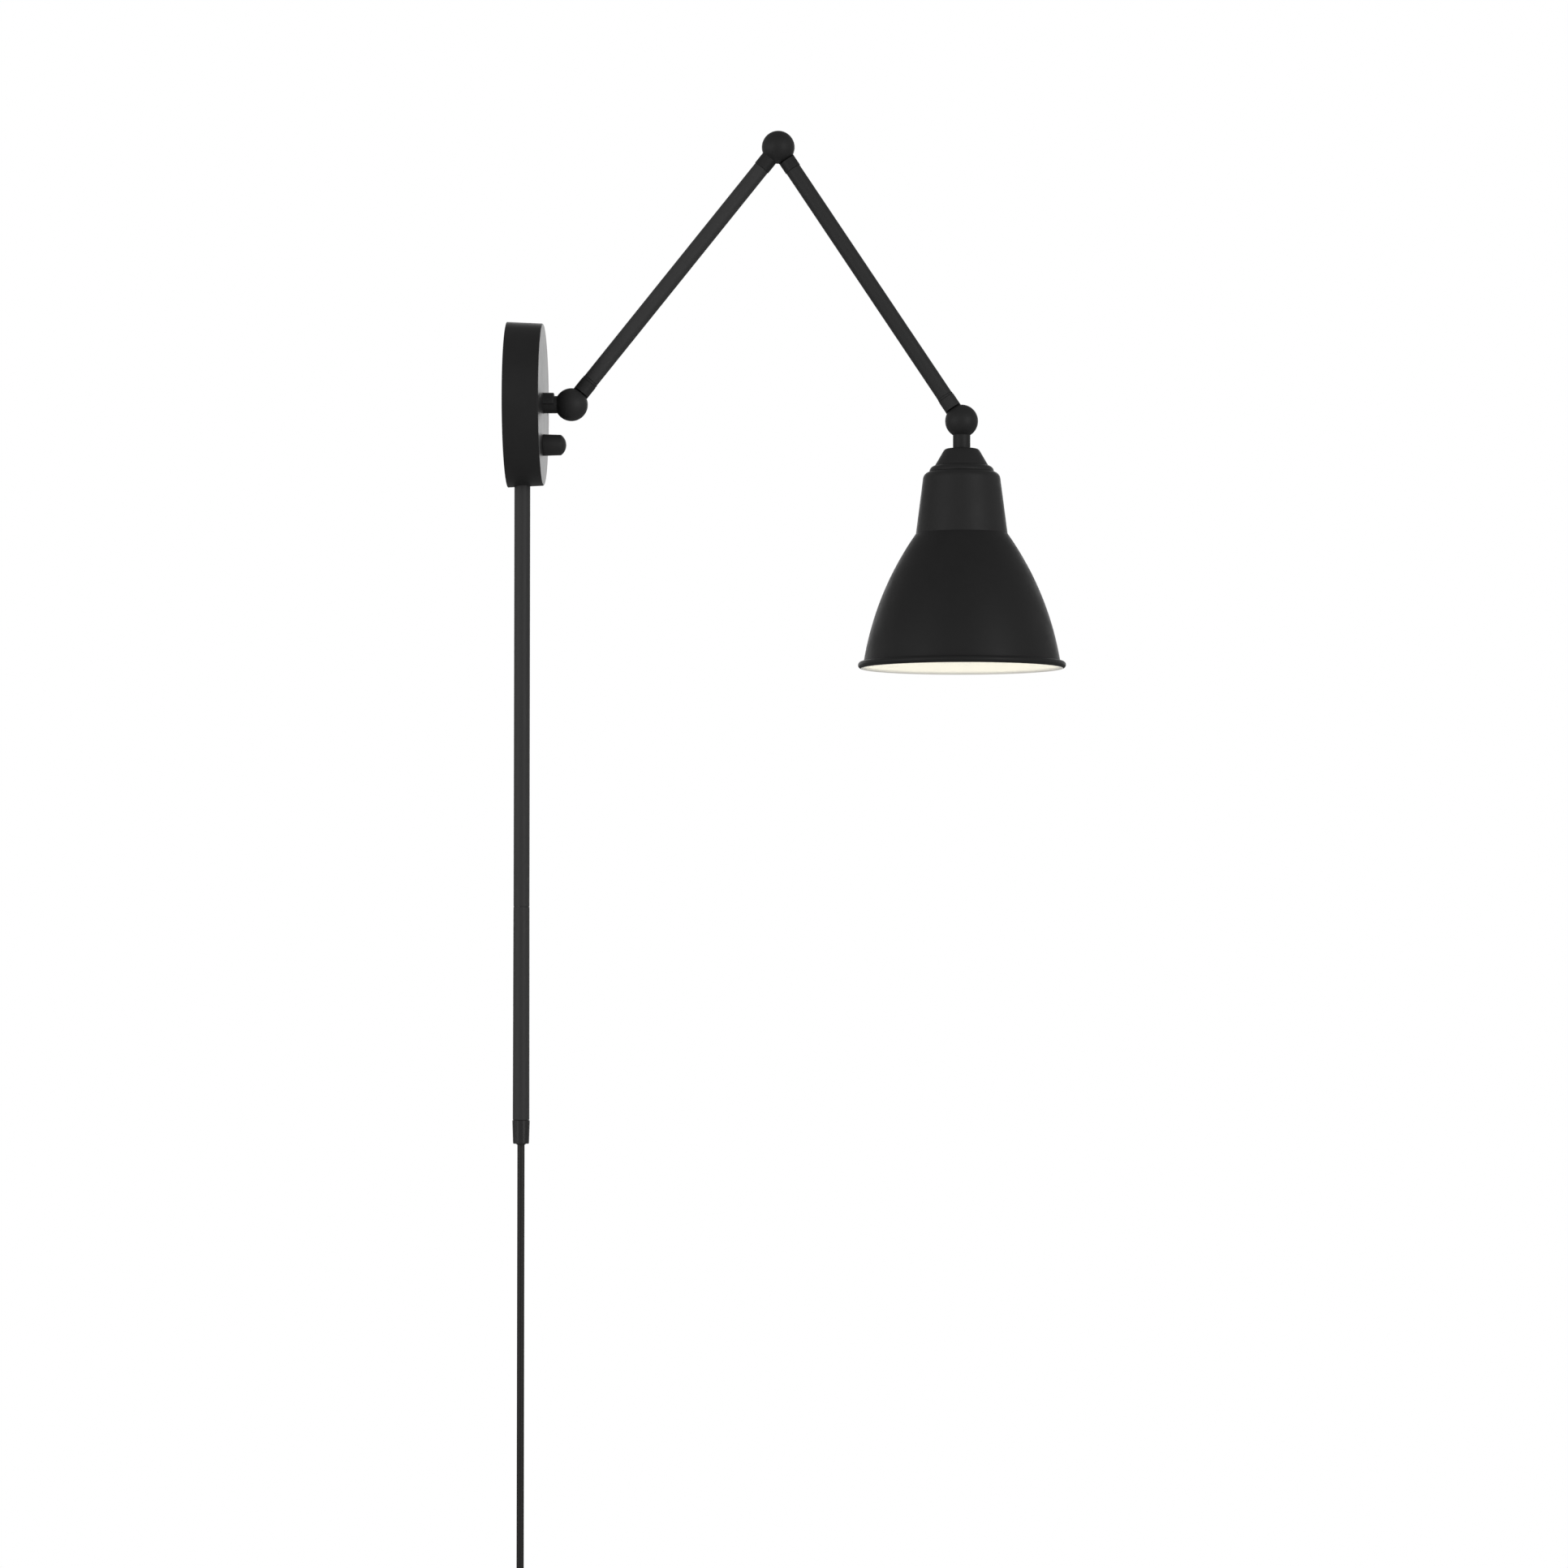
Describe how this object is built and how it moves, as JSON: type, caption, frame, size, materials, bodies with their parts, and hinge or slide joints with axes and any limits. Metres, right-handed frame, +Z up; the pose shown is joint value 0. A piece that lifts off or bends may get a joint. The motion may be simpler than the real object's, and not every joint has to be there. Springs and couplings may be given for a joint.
{
  "type": "swing arm wall sconce",
  "caption": "Wall sconce with two folding arms on ball knuckles, a bell shade, a rotary switch on a round canopy, a cord cover tube and a plug-in cord",
  "frame": {"origin": "centre of the wall bracket's back face, on the wall", "axes": "+X out of the wall, +Z up, +Y to the far side; both arms lie in the plane Y = 0"},
  "size_m": [0.4362, 0.1624, 1.1555],
  "materials": {
    "black_paint": "satin black powder coat",
    "shade_enamel": "satin black outside, warm white inside",
    "knob_plastic": "satin black",
    "steel": "zinc plated",
    "brass": "machined",
    "phenolic": "moulded phenolic",
    "cord_pvc": "soft PVC",
    "orange_plastic": "moulded",
    "bulb_glass": "frosted white"
  },
  "bodies": {
    "wall_base": {"canopy": "black_paint", "mounting_bracket": "steel", "canopy_screws": "black_paint", "stop_collar": "black_paint", "stop_ring": "steel", "switch_body": "phenolic", "switch_nut": "black_paint", "cover_tube_upper": "black_paint", "cover_tube_lower": "black_paint", "cover_coupling": "steel", "cover_nut": "brass", "cover_end_cap": "black_paint", "cord_grommet": "cord_pvc", "cord_grip": "cord_pvc", "mains_lead": "cord_pvc", "canopy_wires": "cord_pvc", "wire_connectors": "orange_plastic", "cord_run": "cord_pvc", "cord_coil": "cord_pvc", "cord_tail": "cord_pvc", "cord_tie": "cord_pvc", "plug": "cord_pvc"},
    "knob_turn": {"knob": "knob_plastic", "switch_shaft": "brass"},
    "stem": {"wall_stem": "black_paint", "stop_washer": "steel", "stem_washer": "steel", "stem_nut": "brass", "wall_pivot_screw": "steel", "wall_pivot_washer": "steel", "stem_lead": "cord_pvc"},
    "arm_lower": {"lower_arm_root": "black_paint", "lower_arm_ring": "black_paint", "lower_arm_tube": "black_paint", "elbow_near": "black_paint", "elbow_pivot_screw": "steel", "elbow_pivot_washer": "steel", "lower_arm_lead": "cord_pvc"},
    "arm_upper": {"elbow_far": "black_paint", "upper_arm_tube": "black_paint", "upper_arm_ring": "black_paint", "upper_arm_tip": "black_paint", "upper_arm_lead": "cord_pvc"},
    "shade_head": {"shade_stem": "black_paint", "shade_pivot_screw": "steel", "shade_pivot_washer": "steel", "shade_cap": "black_paint", "cap_ring": "black_paint", "socket_cup": "black_paint", "nipple": "brass", "nipple_nut": "brass", "lampholder_cap": "phenolic", "lampholder_body": "phenolic", "screw_shell": "brass", "centre_contact": "brass", "shade_ring": "phenolic", "shade": "shade_enamel", "bulb_base": "steel", "bulb_globe": "bulb_glass", "shade_lead": "cord_pvc"}
  },
  "joints": [
    {"name": "stem_swivel", "type": "hinge", "parent": "wall_base", "child": "stem", "pos_m": [0.028, 0, 0], "axis": [1, 0, 0], "range_deg": [-90, 90]},
    {"name": "wall_knuckle", "type": "hinge", "parent": "stem", "child": "arm_lower", "pos_m": [0.0498, 0, 0], "axis": [0, -1, 0], "range_deg": [-36, 38]},
    {"name": "elbow", "type": "hinge", "parent": "arm_lower", "child": "arm_upper", "pos_m": [0.21174, 0, 0.20213], "axis": [0, -1, 0], "range_deg": [-8, 107]},
    {"name": "shade_tilt", "type": "hinge", "parent": "arm_upper", "child": "shade_head", "pos_m": [0.35507, 0, -0.01359], "axis": [0, -1, 0], "range_deg": [-60, 80]},
    {"name": "switch_knob", "type": "hinge", "parent": "wall_base", "child": "knob_turn", "pos_m": [0.036, 0, -0.0317], "axis": [1, 0, 0], "continuous": true}
  ]
}
